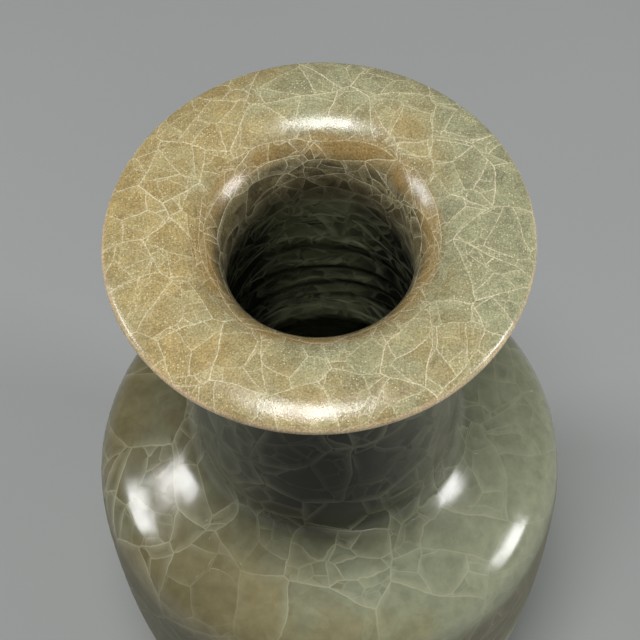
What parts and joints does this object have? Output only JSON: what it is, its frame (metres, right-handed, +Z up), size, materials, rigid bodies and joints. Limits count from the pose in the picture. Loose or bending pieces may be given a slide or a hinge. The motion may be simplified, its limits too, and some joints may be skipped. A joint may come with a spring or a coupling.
{
  "type": "flared-rim vase",
  "caption": "Thrown stoneware vase with a broad shoulder, a cone-shaped neck and a wide flared rim, standing on a bare foot ring, under a crackled celadon glaze.",
  "frame": {"origin": "centre of the flat underside of the foot ring, on the surface that the vase stands on", "axes": "+Z up along the vase's axis of rotation, towards the flared rim; X and Y are any two level directions"},
  "size_m": [0.1414, 0.1414, 0.246],
  "materials": {
    "stoneware": "bare fired stoneware, iron brown, matt and slightly gritty",
    "luting_slip": "fired clay slip between the thrown sections, matt",
    "celadon_glaze": "satin-gloss grey-green celadon with a pale crackle net, browner where it runs thin at the throat and lip"
  },
  "bodies": {
    "root": {"foot_ring": "stoneware", "foot_slip": "luting_slip", "lower_body": "stoneware", "belly_slip": "luting_slip", "shoulder": "stoneware", "neck_slip": "luting_slip", "neck": "stoneware", "rim_slip": "luting_slip", "flared_rim": "stoneware", "glaze_outside": "celadon_glaze", "glaze_inside": "celadon_glaze", "glaze_foot_well": "celadon_glaze"}
  },
  "joints": []
}
